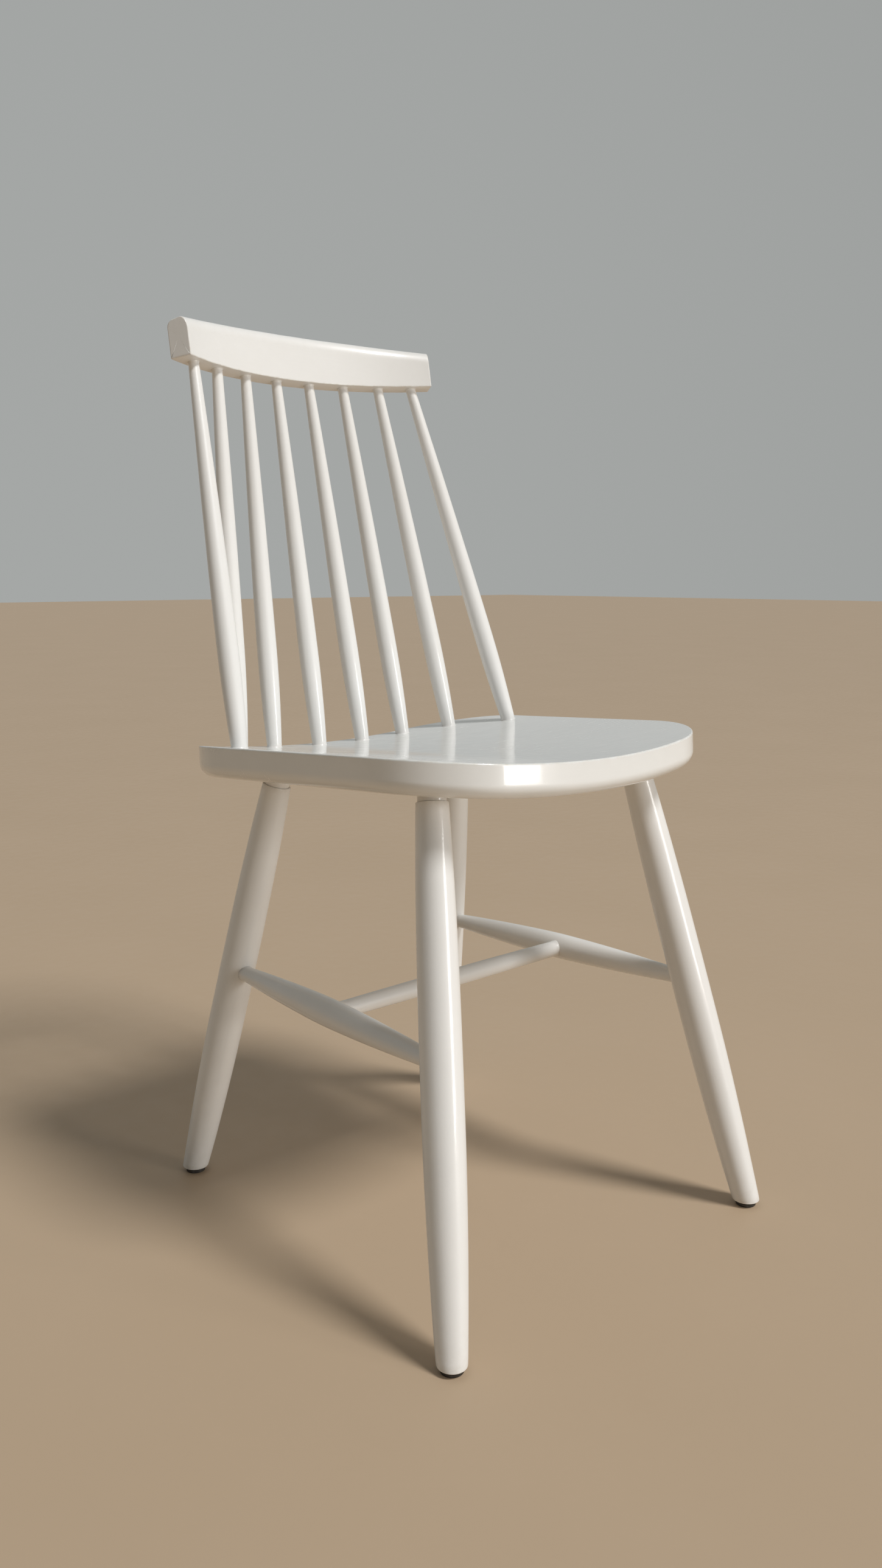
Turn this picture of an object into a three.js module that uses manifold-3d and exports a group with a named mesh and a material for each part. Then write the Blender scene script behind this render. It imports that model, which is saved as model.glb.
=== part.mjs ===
// A spindle-back dining chair: a bent board seat on four splayed turned legs, an H-stretcher, and eight
// turned spindles under a curved crest rail. Millimetres, +Z up, front of the chair towards -Y, origin on
// the floor at the middle of the chair's footprint box. Every round piece ends in its neighbour's socket.
import * as THREE from "three";
import { ParametricGeometry } from "three/addons/geometries/ParametricGeometry.js";
import { mergeVertices } from "three/addons/utils/BufferGeometryUtils.js";
import Module from "manifold-3d";

const degrees = THREE.MathUtils.degToRad;

// ---- Driving dimensions -------------------------------------------------------------------------------

const SEAT = {
  height: 439, // top surface above the floor, at the middle of the seat
  rake: 3.9, // degrees, the rear edge lower than the front
  rearWidth: 388, // across the straight sides, carried back to the rear edge
  frontWidth: 356, // the same, carried forward to the front edge
  depth: 391,
  thickness: 28,
  dishRadius: 1180, // the board is bent across its width
  rearCornerRadius: 88,
  frontCornerRadius: 95,
  frontBowRadius: 530,
  topEase: 1.5, // small radius along the upper edge
  lowerRound: 11, // large radius along the lower edge
};

const LEG = {
  topDiameter: 27,
  bellyDiameter: 34.5,
  footDiameter: 25,
  bellyAt: 0.44, // share of the turned length, from the foot
  footPower: 2, // how suddenly the barrel tapers: higher keeps it full for longer
  topPower: 2.8,
  tenonDiameter: 24,
  tenonDepth: 20, // into the seat
  shoulderDrop: 6, // bare neck between the seat and the leg's shoulder
  shoulderChamfer: 1.5, // along the leg
  shoulderInset: 0.9, // the same chamfer, across the leg
};

// Where each leg meets the seat, measured in from the seat's edges, and how far it leans out.
const FRONT_LEG = { fromSide: 56, fromEdge: 82, sideLean: 8.95, endLean: 13.1 };
const REAR_LEG = { fromSide: 77, fromEdge: 75.5, sideLean: 7.7, endLean: 11.7 };

const GLIDE = { diameter: 19, thickness: 5, pinDiameter: 5, pinLength: 9, edgeRound: 0.8 };

const SIDE_STRETCHER = {
  frontHeight: 221, // where its axis crosses the front leg's axis
  rearHeight: 216.5,
  bellyDiameter: 25.5,
  endDiameter: 14.5,
  intoLeg: 15, // tenon length inside the leg
};
const STRETCHER_POWER = 1.6; // taper of all three stretchers, fullest in the middle

const CROSS_STRETCHER = {
  ahead: 4, // in front of the middle of the side stretchers
  bellyDiameter: 17,
  endDiameter: 15.6,
  intoStretcher: 8,
};

const SPINDLE = {
  count: 8,
  baseDiameter: 14.4,
  bellyDiameter: 19.6,
  topDiameter: 10.2,
  bellyAt: 0.24, // share of the visible length, from the seat
  basePower: 2,
  topPower: 1.5,
  intoSeat: 16,
  intoRail: 18,
};

// The spindles stand on a line inside the seat's rear edge, which turns forward at both ends.
const SPINDLE_LINE = { fromRear: 25.7, fromSide: 17, cornerRadius: 95, pitch: 55, endPitch: 68 };

const RAIL = {
  frontRadius: 297, // the hollow front face, in plan
  halfLength: 147.3, // along X, from the middle to the lower front corner of the end
  thickness: 22,
  height: 48, // at the middle
  crownDrop: 12.8, // how much lower the top is at the ends
  lowerDrop: 2, // how much lower the underside is at the ends
  topFall: 1, // how much lower the top's rear edge is than its front
  frontRound: 8, // the top front edge is rounded over, more down the face than across the top
  frontRoundDown: 13,
  rearRound: 7.5,
  ease: 1, // small chamfer on the lower edges and the ends
  lean: 9.8, // degrees, top leaning back
  behindSeatCentre: 233.5, // lower front edge, at the middle
  above: 793.5, // the same edge above the floor
  pitch: 40.5, // between spindles, along the rail
  endPitch: 37,
};

const FIT = 0.3; // clearance all round each tenon, and under each piece that rests on another
const TENON_CHAMFER = 0.8; // on every tenon's hidden end

// Facets round each turned piece and steps along it, and the same for the two shaped boards.
const FACETS = { leg: 16, stretcher: 16, spindle: 12, glide: 16 };
const TURNING_STEPS = { leg: 10, stretcher: 8, spindle: 8 };
const SEAT_STEPS = { corner: 8, frontBow: 5, rearEdge: 3, side: 3, lowerRound: 4, across: 3 };
const RAIL_STEPS = { along: 20, frontRound: 4, rearRound: 4 };

// ---- Materials ----------------------------------------------------------------------------------------

const paint = new THREE.MeshStandardMaterial({ color: 0xe2e0da, roughness: 0.38, metalness: 0 });
const seatPaint = new THREE.MeshStandardMaterial({ color: 0xdfe0dc, roughness: 0.28, metalness: 0 });
const darkPlastic = new THREE.MeshStandardMaterial({ color: 0x2a2624, roughness: 0.6, metalness: 0 });

// ---- Solids: cutting one mesh by others ---------------------------------------------------------------

const wasm = await Module();
wasm.setup();

function toSolid(geometry, matrix) {
  const bare = (geometry.index ? geometry.toNonIndexed() : geometry.clone()).applyMatrix4(matrix);
  bare.deleteAttribute("normal");
  bare.deleteAttribute("uv");
  const merged = mergeVertices(bare, 1e-4);
  const mesh = new wasm.Mesh({
    numProp: 3,
    vertProperties: merged.attributes.position.array,
    triVerts: new Uint32Array(merged.index.array),
  });
  return new wasm.Manifold(mesh);
}

function toGeometry(solid) {
  const { vertProperties, triVerts } = solid.getMesh();
  const geometry = new THREE.BufferGeometry();
  geometry.setAttribute("position", new THREE.BufferAttribute(vertProperties, 3));
  geometry.setIndex(new THREE.BufferAttribute(triVerts, 1));
  geometry.computeVertexNormals();
  return geometry;
}

function cut(mesh, cutters) {
  mesh.updateMatrixWorld(true);
  const toLocal = mesh.matrixWorld.clone().invert();
  let body = toSolid(mesh.geometry, new THREE.Matrix4());
  for (const cutter of cutters) {
    cutter.updateMatrixWorld(true);
    const inPlace = toLocal.clone().multiply(cutter.matrixWorld);
    body = body.subtract(toSolid(cutter.geometry, inPlace));
  }
  mesh.geometry = toGeometry(body);
}

// ---- Turned pieces ------------------------------------------------------------------------------------

const UP = new THREE.Vector3(0, 1, 0); // a lathe turns round its own Y axis

function named(name, geometry, material) {
  const mesh = new THREE.Mesh(geometry, material);
  mesh.name = name;
  return mesh;
}

// Lays a turned mesh along a line: its own zero at start, its own +Y towards end.
function layAlong(mesh, start, end) {
  mesh.position.copy(start);
  mesh.quaternion.setFromUnitVectors(UP, end.clone().sub(start).normalize());
  return mesh;
}

function turned(profile, facets) {
  const points = profile.map(([radius, along]) => new THREE.Vector2(radius, along));
  return new THREE.LatheGeometry(points, facets);
}

// A round socket with clearance, from inside the wood out past its mouth.
function socket(diameter, facets, bottom, mouth) {
  const flatRadius = diameter / 2 + FIT;
  const radius = flatRadius / Math.cos(Math.PI / facets);
  const length = bottom.distanceTo(mouth);
  const geometry = new THREE.CylinderGeometry(radius, radius, length, facets).translate(0, length / 2, 0);
  return layAlong(new THREE.Mesh(geometry), bottom, mouth);
}

// A barrel's radius at a share of its length: fullest at belly, easing to each end.
function barrel(share, belly, bellyDiameter, startDiameter, endDiameter, startPower, endPower) {
  const towardsEnd = share > belly;
  const far = towardsEnd ? (share - belly) / (1 - belly) : (belly - share) / belly;
  const tip = towardsEnd ? endDiameter : startDiameter;
  const power = towardsEnd ? endPower : startPower;
  return (bellyDiameter - (bellyDiameter - tip) * far ** power) / 2;
}

function moved(point, direction, distance) {
  return point.clone().addScaledVector(direction, distance);
}

function directionOf(from, to) {
  return to.clone().sub(from).normalize();
}

// ---- Seat ---------------------------------------------------------------------------------------------

const rearEdge = SEAT.depth / 2;
const frontEdge = -SEAT.depth / 2;
const flare = Math.atan((SEAT.rearWidth - SEAT.frontWidth) / 2 / SEAT.depth);
const midHalfWidth = (SEAT.rearWidth + SEAT.frontWidth) / 4;
const sideAlong = new THREE.Vector2(Math.sin(flare), Math.cos(flare));
const sideOut = new THREE.Vector2(Math.cos(flare), -Math.sin(flare));

function halfWidthAt(y) {
  return midHalfWidth + y * Math.tan(flare);
}

function dish(x) {
  return SEAT.dishRadius - Math.sqrt(SEAT.dishRadius ** 2 - x ** 2);
}

// The middle of a corner arc that touches the side line, a given distance along it.
function cornerCentre(radius, along) {
  const inside = new THREE.Vector2(midHalfWidth, 0).addScaledVector(sideOut, -radius);
  return inside.addScaledVector(sideAlong, along);
}

function rearCornerCentre() {
  const start = cornerCentre(SEAT.rearCornerRadius, 0);
  return cornerCentre(SEAT.rearCornerRadius, (rearEdge - SEAT.rearCornerRadius - start.y) / sideAlong.y);
}

// The front corner arc also touches the bowed front edge from inside.
function frontCornerCentre(bowCentre) {
  const start = cornerCentre(SEAT.frontCornerRadius, 0).sub(bowCentre);
  const reach = SEAT.frontBowRadius - SEAT.frontCornerRadius;
  const half = start.dot(sideAlong);
  const along = -half - Math.sqrt(half ** 2 - start.lengthSq() + reach ** 2);
  return cornerCentre(SEAT.frontCornerRadius, along);
}

function arcPoints(centre, radius, from, to, steps) {
  return Array.from({ length: steps + 1 }, (_, i) => {
    const angle = from + ((to - from) * i) / steps;
    const out = new THREE.Vector2(Math.cos(angle), Math.sin(angle));
    return { at: centre.clone().addScaledVector(out, radius), out };
  });
}

// Points between the last of one run and the first of the next.
function between(a, b, steps) {
  return Array.from({ length: steps - 1 }, (_, i) => {
    const share = (i + 1) / steps;
    return { at: a.at.clone().lerp(b.at, share), out: a.out.clone().lerp(b.out, share).normalize() };
  });
}

function mirrored({ at, out }) {
  return { at: new THREE.Vector2(-at.x, at.y), out: new THREE.Vector2(-out.x, out.y) };
}

// The seat's outline in plan, once round, each point with its outward direction.
function seatOutline() {
  const bowCentre = new THREE.Vector2(0, frontEdge + SEAT.frontBowRadius);
  const rear = rearCornerCentre();
  const front = frontCornerCentre(bowCentre);
  const sideAngle = -flare;
  const meets = Math.atan2(front.y - bowCentre.y, front.x);
  const steps = SEAT_STEPS.corner;
  const rearArc = arcPoints(rear, SEAT.rearCornerRadius, Math.PI / 2, sideAngle, steps);
  const frontArc = arcPoints(front, SEAT.frontCornerRadius, sideAngle, meets, steps);
  const bow = arcPoints(bowCentre, SEAT.frontBowRadius, meets, -Math.PI / 2, SEAT_STEPS.frontBow);
  const rearMiddle = { at: new THREE.Vector2(0, rearEdge), out: new THREE.Vector2(0, 1) };
  const half = [
    rearMiddle,
    ...between(rearMiddle, rearArc[0], SEAT_STEPS.rearEdge),
    ...rearArc,
    ...between(rearArc.at(-1), frontArc[0], SEAT_STEPS.side),
    ...frontArc,
    ...bow.slice(1),
  ];
  return [...half, ...half.slice(1, -1).reverse().map(mirrored)];
}

const EASE_MIDDLE = 1 - Math.SQRT1_2; // a quarter arc's middle, as a share of its radius in from both faces

// Rings from the middle of the top, over the edge, to the middle of the underside.
function seatRings() {
  const { thickness, topEase, lowerRound } = SEAT;
  const spread = Array.from({ length: SEAT_STEPS.across }, (_, i) => i / SEAT_STEPS.across);
  const top = spread.map((scale) => ({ scale, inset: topEase, depth: 0 }));
  const easing = [
    { scale: 1, inset: topEase, depth: 0 },
    { scale: 1, inset: topEase * EASE_MIDDLE, depth: topEase * EASE_MIDDLE },
    { scale: 1, inset: 0, depth: topEase },
  ];
  const round = Array.from({ length: SEAT_STEPS.lowerRound + 1 }, (_, i) => {
    const angle = ((Math.PI / 2) * i) / SEAT_STEPS.lowerRound;
    const inset = lowerRound * (1 - Math.cos(angle));
    return { scale: 1, inset, depth: thickness - lowerRound * (1 - Math.sin(angle)) };
  });
  const under = spread.map((scale) => ({ scale, inset: lowerRound, depth: thickness })).reverse();
  return [...top, ...easing, ...round, ...under];
}

function seatGeometry() {
  const outline = seatOutline();
  const rings = seatRings();
  const place = (u, v, target) => {
    const { at, out } = outline[Math.round(u * outline.length) % outline.length];
    const { scale, inset, depth } = rings[Math.round(v * (rings.length - 1))];
    const flat = at.clone().addScaledVector(out, -inset).multiplyScalar(scale);
    target.set(flat.x, flat.y, dish(flat.x) - depth);
  };
  return new ParametricGeometry(place, outline.length, rings.length - 1);
}

const seat = named("seat", seatGeometry(), seatPaint);
seat.position.set(0, 0, SEAT.height);
seat.rotation.x = -degrees(SEAT.rake);
seat.updateMatrixWorld(true);

// A point on the seat, a given depth below its top surface.
function onSeat(x, y, depth) {
  return new THREE.Vector3(x, y, dish(x) - depth).applyMatrix4(seat.matrixWorld);
}

// ---- Legs, glides and stretchers ----------------------------------------------------------------------

// A leg's axis: its point on the seat's underside, its foot on the glide, and the way up between them.
function legAxis(side, end, { fromSide, fromEdge, sideLean, endLean }) {
  const y = end * (SEAT.depth / 2 - fromEdge);
  const top = onSeat(side * (halfWidthAt(y) - fromSide), y, SEAT.thickness);
  const rise = top.z - GLIDE.thickness;
  const out = new THREE.Vector3(side * Math.tan(degrees(sideLean)), end * Math.tan(degrees(endLean)), -1);
  const foot = moved(top, out, rise);
  return { top, foot, up: directionOf(foot, top) };
}

const RIGHT = -1;
const LEFT = 1;
const FRONT = -1;
const REAR = 1;
const legAxes = {
  front_right: legAxis(RIGHT, FRONT, FRONT_LEG),
  front_left: legAxis(LEFT, FRONT, FRONT_LEG),
  rear_right: legAxis(RIGHT, REAR, REAR_LEG),
  rear_left: legAxis(LEFT, REAR, REAR_LEG),
};

// The point of a leg's axis at a given height.
function atHeight({ top, foot }, height) {
  return foot.clone().lerp(top, (height - foot.z) / (top.z - foot.z));
}

function legGeometry(axis) {
  const turnedLength = axis.foot.distanceTo(axis.top) - LEG.shoulderDrop;
  const belowFoot = LEG.footDiameter; // spare wood, cut off level with the floor
  const tenonEnd = turnedLength + LEG.shoulderDrop + LEG.tenonDepth;
  const profile = [
    [0, -belowFoot],
    [LEG.footDiameter / 2, -belowFoot],
  ];
  for (let i = 0; i < TURNING_STEPS.leg; i++) {
    const share = i / TURNING_STEPS.leg;
    profile.push([legRadius(share), share * turnedLength]);
  }
  const shoulder = LEG.topDiameter / 2;
  const tenon = LEG.tenonDiameter / 2;
  profile.push(
    [shoulder, turnedLength - LEG.shoulderChamfer],
    [shoulder - LEG.shoulderInset, turnedLength],
    [tenon, turnedLength],
    [tenon, tenonEnd - TENON_CHAMFER],
    [tenon - TENON_CHAMFER, tenonEnd],
    [0, tenonEnd],
  );
  return turned(profile, FACETS.leg);
}

function legRadius(share) {
  const { bellyAt, bellyDiameter, footDiameter, topDiameter, footPower, topPower } = LEG;
  return barrel(share, bellyAt, bellyDiameter, footDiameter, topDiameter, footPower, topPower);
}

function glideGeometry() {
  const radius = GLIDE.diameter / 2;
  const flange = GLIDE.thickness - FIT;
  const pin = GLIDE.pinDiameter / 2;
  const profile = [
    [0, 0],
    [radius - GLIDE.edgeRound, 0],
    [radius, GLIDE.edgeRound],
    [radius, flange],
    [pin, flange],
    [pin, flange + GLIDE.pinLength],
    [0, flange + GLIDE.pinLength],
  ];
  return turned(profile, FACETS.glide);
}

// Everything below the level of the glides' tops.
function floorCutter(foot) {
  const size = LEG.footDiameter * 4;
  const box = new THREE.Mesh(new THREE.BoxGeometry(size, size, size));
  box.position.set(foot.x, foot.y, GLIDE.thickness - size / 2);
  return box;
}

function glideHole(foot) {
  const mouth = new THREE.Vector3(foot.x, foot.y, 0);
  const bottom = mouth.clone().setZ(GLIDE.thickness + GLIDE.pinLength + FIT);
  return socket(GLIDE.pinDiameter, FACETS.glide, bottom, mouth);
}

const sideStretcherAxes = {
  right: stretcherAxis(legAxes.rear_right, legAxes.front_right),
  left: stretcherAxis(legAxes.rear_left, legAxes.front_left),
};

function stretcherAxis(rearLeg, frontLeg) {
  const rear = atHeight(rearLeg, SIDE_STRETCHER.rearHeight);
  const front = atHeight(frontLeg, SIDE_STRETCHER.frontHeight);
  return { rear, front, forward: directionOf(rear, front) };
}

function crossEnd({ rear, front, forward }) {
  return moved(rear.clone().lerp(front, 0.5), forward, CROSS_STRETCHER.ahead);
}

const crossAxis = { right: crossEnd(sideStretcherAxes.right), left: crossEnd(sideStretcherAxes.left) };

// A stretcher from tenon end to tenon end, its own zero at the start of the axis.
function stretcherGeometry(length, outside, into, bellyDiameter, endDiameter) {
  const visible = length - 2 * outside;
  const end = endDiameter / 2;
  const profile = [
    [0, outside - into],
    [end - TENON_CHAMFER, outside - into],
    [end, outside - into + TENON_CHAMFER],
  ];
  for (let i = 0; i <= TURNING_STEPS.stretcher; i++) {
    const share = i / TURNING_STEPS.stretcher;
    const power = STRETCHER_POWER;
    const radius = barrel(share, 1 / 2, bellyDiameter, endDiameter, endDiameter, power, power);
    profile.push([radius, outside + share * visible]);
  }
  profile.push(
    [end, length - outside + into - TENON_CHAMFER],
    [end - TENON_CHAMFER, length - outside + into],
    [0, length - outside + into],
  );
  return turned(profile, FACETS.stretcher);
}

// The leg is nearly at its fullest where the side stretcher enters it.
const legSurface = LEG.bellyDiameter / 2;
const sideSurface = SIDE_STRETCHER.bellyDiameter / 2;

function sideStretcherGeometry({ rear, front }) {
  const { intoLeg, bellyDiameter, endDiameter } = SIDE_STRETCHER;
  return stretcherGeometry(rear.distanceTo(front), legSurface, intoLeg, bellyDiameter, endDiameter);
}

function crossStretcherGeometry() {
  const { intoStretcher, bellyDiameter, endDiameter } = CROSS_STRETCHER;
  const length = crossAxis.right.distanceTo(crossAxis.left);
  return stretcherGeometry(length, sideSurface, intoStretcher, bellyDiameter, endDiameter);
}

// The socket for a stretcher's end: at is the axis point inside the wood, towards points out of it.
function stretcherSocket(at, towards, surface, into, diameter) {
  const bottom = moved(at, towards, surface - into - FIT);
  return socket(diameter, FACETS.stretcher, bottom, moved(at, towards, surface * 2));
}

function legSocketInSeat({ top, up }) {
  const bottom = moved(top, up, LEG.tenonDepth + FIT);
  return socket(LEG.tenonDiameter, FACETS.leg, bottom, moved(top, up, -LEG.tenonDepth));
}

const undercarriage = new THREE.Group();
for (const [place, axis] of Object.entries(legAxes)) {
  const [end, side] = place.split("_");
  const leg = layAlong(named(`${place}_leg`, legGeometry(axis), paint), axis.foot, axis.top);
  const stretcher = sideStretcherAxes[side];
  const inwards = stretcher.forward.clone().multiplyScalar(end === "front" ? -1 : 1);
  const { intoLeg, endDiameter } = SIDE_STRETCHER;
  cut(leg, [
    floorCutter(axis.foot),
    glideHole(axis.foot),
    stretcherSocket(stretcher[end], inwards, legSurface, intoLeg, endDiameter),
  ]);
  const glide = named(`${place}_glide`, glideGeometry(), darkPlastic);
  glide.rotation.x = Math.PI / 2;
  glide.position.set(axis.foot.x, axis.foot.y, 0);
  undercarriage.add(leg, glide);
}

for (const [side, axis] of Object.entries(sideStretcherAxes)) {
  const stretcher = named(`${side}_side_stretcher`, sideStretcherGeometry(axis), paint);
  layAlong(stretcher, axis.rear, axis.front);
  const otherEnd = crossAxis[side === "right" ? "left" : "right"];
  const inwards = directionOf(crossAxis[side], otherEnd);
  const { intoStretcher, endDiameter } = CROSS_STRETCHER;
  cut(stretcher, [stretcherSocket(crossAxis[side], inwards, sideSurface, intoStretcher, endDiameter)]);
  undercarriage.add(stretcher);
}

const crossStretcher = named("cross_stretcher", crossStretcherGeometry(), paint);
undercarriage.add(layAlong(crossStretcher, crossAxis.right, crossAxis.left));

// ---- Crest rail ---------------------------------------------------------------------------------------

const railHalfAngle = Math.asin(RAIL.halfLength / RAIL.frontRadius);

// The rail's section, from the lower front edge up and over: x back from the front face, y up from below.
function railSection(height) {
  const { thickness, frontRound, frontRoundDown, rearRound, topFall, ease } = RAIL;
  const frontCentre = new THREE.Vector2(frontRound, height - frontRoundDown);
  const rearCentre = new THREE.Vector2(thickness - rearRound, height - topFall - rearRound);
  const front = arcPoints(new THREE.Vector2(), 1, Math.PI, Math.PI / 2, RAIL_STEPS.frontRound).map(({ at }) => {
    return at.multiply(new THREE.Vector2(frontRound, frontRoundDown)).add(frontCentre);
  });
  const rear = arcPoints(rearCentre, rearRound, Math.PI / 2, 0, RAIL_STEPS.rearRound);
  return [
    new THREE.Vector2(ease, 0),
    new THREE.Vector2(0, ease),
    ...front,
    ...rear.map(({ at }) => at),
    new THREE.Vector2(thickness, ease),
    new THREE.Vector2(thickness - ease, 0),
  ];
}

// Stations along the rail: a point, an eased end, the body, an eased end, a point.
function railStations() {
  const easeAngle = RAIL.ease / RAIL.frontRadius;
  const inner = railHalfAngle - easeAngle;
  const body = Array.from({ length: RAIL_STEPS.along + 1 }, (_, i) => {
    return { angle: inner - (2 * inner * i) / RAIL_STEPS.along, inset: 0 };
  });
  const tip = { angle: railHalfAngle, inset: RAIL.ease };
  const middle = { angle: railHalfAngle, inset: Infinity };
  const flip = ({ angle, inset }) => ({ angle: -angle, inset });
  return [middle, tip, ...body, flip(tip), flip(middle)];
}

function railPoint(angle, back, up) {
  const radius = RAIL.frontRadius + back;
  return new THREE.Vector3(Math.sin(angle) * radius, Math.cos(angle) * radius - RAIL.frontRadius, up);
}

// The underside's height at an angle along the rail.
function railUnderside(angle) {
  return -RAIL.lowerDrop * (angle / railHalfAngle) ** 2;
}

function railGeometry() {
  const stations = railStations();
  const count = railSection(RAIL.height).length;
  const place = (u, v, target) => {
    const { angle, inset } = stations[Math.round(v * (stations.length - 1))];
    const underside = railUnderside(angle);
    const height = RAIL.height - RAIL.crownDrop * (angle / railHalfAngle) ** 2 - underside;
    const middle = new THREE.Vector2(RAIL.thickness / 2, height / 2);
    const point = railSection(height)[Math.round(u * count) % count];
    const reach = point.distanceTo(middle);
    point.lerp(middle, Math.min(1, inset / reach));
    target.copy(railPoint(angle, point.x, underside + point.y));
  };
  return new ParametricGeometry(place, count, stations.length - 1);
}

const rail = named("crest_rail", railGeometry(), paint);
rail.position.set(0, RAIL.behindSeatCentre, RAIL.above);
rail.rotation.x = -degrees(RAIL.lean);
rail.updateMatrixWorld(true);

// ---- Spindles -----------------------------------------------------------------------------------------

// Distance from the middle of a row to a spindle, counted outwards from the middle.
function rowDistance(fromMiddle, { pitch, endPitch }) {
  const last = SPINDLE.count / 2 - 1;
  return fromMiddle < last ? pitch * (fromMiddle + 0.5) : pitch * (last - 0.5) + endPitch;
}

// A spindle's foot on the seat: along the straight of the spindle line, then round its corner.
function spindleBase(side, fromMiddle) {
  const { fromRear, fromSide, cornerRadius } = SPINDLE_LINE;
  const y = rearEdge - fromRear;
  const straight = halfWidthAt(y - cornerRadius) - fromSide - cornerRadius;
  const distance = rowDistance(fromMiddle, SPINDLE_LINE);
  const turn = Math.max(0, distance - straight) / cornerRadius;
  const x = Math.min(distance, straight) + cornerRadius * Math.sin(turn);
  return onSeat(side * x, y - cornerRadius * (1 - Math.cos(turn)), 0);
}

function spindleTop(side, fromMiddle) {
  const middle = RAIL.thickness / 2;
  const angle = rowDistance(fromMiddle, RAIL) / (RAIL.frontRadius + middle);
  return railPoint(side * angle, middle, railUnderside(angle)).applyMatrix4(rail.matrixWorld);
}

function spindleGeometry(visible) {
  const { bellyAt, bellyDiameter, baseDiameter, topDiameter, basePower, topPower } = SPINDLE;
  const { intoSeat, intoRail } = SPINDLE;
  const base = baseDiameter / 2;
  const top = topDiameter / 2;
  const tenonEnd = visible + intoRail;
  const profile = [
    [0, -intoSeat],
    [base - TENON_CHAMFER, -intoSeat],
    [base, -intoSeat + TENON_CHAMFER],
  ];
  for (let i = 0; i <= TURNING_STEPS.spindle; i++) {
    const share = i / TURNING_STEPS.spindle;
    const radius = barrel(share, bellyAt, bellyDiameter, baseDiameter, topDiameter, basePower, topPower);
    profile.push([radius, share * visible]);
  }
  profile.push([top, tenonEnd - TENON_CHAMFER], [top - TENON_CHAMFER, tenonEnd], [0, tenonEnd]);
  return turned(profile, FACETS.spindle);
}

const backrest = new THREE.Group();
const seatSockets = Object.values(legAxes).map(legSocketInSeat);
const railSockets = [];
for (let i = 0; i < SPINDLE.count; i++) {
  const side = i < SPINDLE.count / 2 ? RIGHT : LEFT;
  const fromMiddle = side === RIGHT ? SPINDLE.count / 2 - 1 - i : i - SPINDLE.count / 2;
  const base = spindleBase(side, fromMiddle);
  const top = spindleTop(side, fromMiddle);
  const up = directionOf(base, top);
  const { baseDiameter, topDiameter, intoSeat, intoRail } = SPINDLE;
  const spindle = named(`back_spindle_${i + 1}`, spindleGeometry(base.distanceTo(top)), paint);
  backrest.add(layAlong(spindle, base, top));
  const seatMouth = moved(base, up, intoSeat);
  seatSockets.push(socket(baseDiameter, FACETS.spindle, moved(base, up, -intoSeat - FIT), seatMouth));
  const railMouth = moved(top, up, -intoRail);
  railSockets.push(socket(topDiameter, FACETS.spindle, moved(top, up, intoRail + FIT), railMouth));
}
cut(seat, seatSockets);
cut(rail, railSockets);
backrest.add(rail);

// ---- The whole chair, moved so that its footprint box is centred on the origin -------------------------

const chair = new THREE.Group();
chair.name = "spindle_back_chair";
chair.add(seat, undercarriage, backrest);
const footprint = new THREE.Box3().setFromObject(chair, true);
chair.position.y = -(footprint.min.y + footprint.max.y) / 2;

export default chair;
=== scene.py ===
"""A white spindle-back dining chair: fine meshes and painted-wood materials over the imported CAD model."""
import math

import bpy
from mathutils import Euler, Matrix, Vector, noise


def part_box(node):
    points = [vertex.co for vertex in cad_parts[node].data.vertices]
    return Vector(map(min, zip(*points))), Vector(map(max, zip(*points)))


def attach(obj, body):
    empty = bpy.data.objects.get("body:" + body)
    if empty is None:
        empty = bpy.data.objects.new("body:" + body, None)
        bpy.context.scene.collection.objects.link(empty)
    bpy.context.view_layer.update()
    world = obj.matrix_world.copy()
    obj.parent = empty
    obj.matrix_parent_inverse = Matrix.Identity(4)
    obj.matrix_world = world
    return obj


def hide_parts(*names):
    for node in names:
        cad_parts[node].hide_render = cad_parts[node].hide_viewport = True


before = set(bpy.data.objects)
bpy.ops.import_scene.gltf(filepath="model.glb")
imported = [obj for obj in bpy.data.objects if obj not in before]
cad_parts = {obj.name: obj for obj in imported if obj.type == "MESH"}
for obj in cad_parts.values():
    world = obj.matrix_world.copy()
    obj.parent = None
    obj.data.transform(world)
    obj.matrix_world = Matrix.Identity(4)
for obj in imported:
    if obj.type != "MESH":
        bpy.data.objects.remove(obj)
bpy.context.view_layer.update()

MM = 0.001

# ---- Sizes, in millimetres and radians, in the chair's own frame -------------------------------------------

ENDS = {"front": -1, "rear": 1}  # which way each end lies along Y
SIDES = {"right": -1, "left": 1}  # the sitter's sides, and which way each lies along X

SEAT_HEIGHT = 439
SEAT_RAKE = math.radians(3.9)
SEAT_REAR_WIDTH = 388
SEAT_FRONT_WIDTH = 356
SEAT_DEPTH = 391
SEAT_THICKNESS = 28
SEAT_DISH_RADIUS = 1180
SEAT_REAR_CORNER = 88
SEAT_FRONT_CORNER = 95
SEAT_BOW = 530
SEAT_EASE = 1.6
SEAT_LOWER_ROUND = 11
SEAT_BESIDE = 0.8  # from a rounded edge to the next row of points

FOOT_DIAMETER = 25
LEG_BELLY = 34.5
LEG_TOP = 27
LEG_BELLY_AT = 0.44
LEG_POWERS = (2, 2.8)  # how late it narrows, towards the foot and towards the top
LEG_FROM_SIDE = {"front": 56, "rear": 77}
LEG_FROM_EDGE = {"front": 82, "rear": 75.5}
NECK_DIAMETER = 24
SHOULDER_DROP = 6
LEG_TENON = 8

GLIDE_HEIGHT = 5
GLIDE_DIAMETER = 19
GLIDE_GAP = 0.25  # between a glide's rim and the foot, a dark line
GLIDE_PIN = 8.5
GLIDE_PIN_DIAMETER = 4.8

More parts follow.
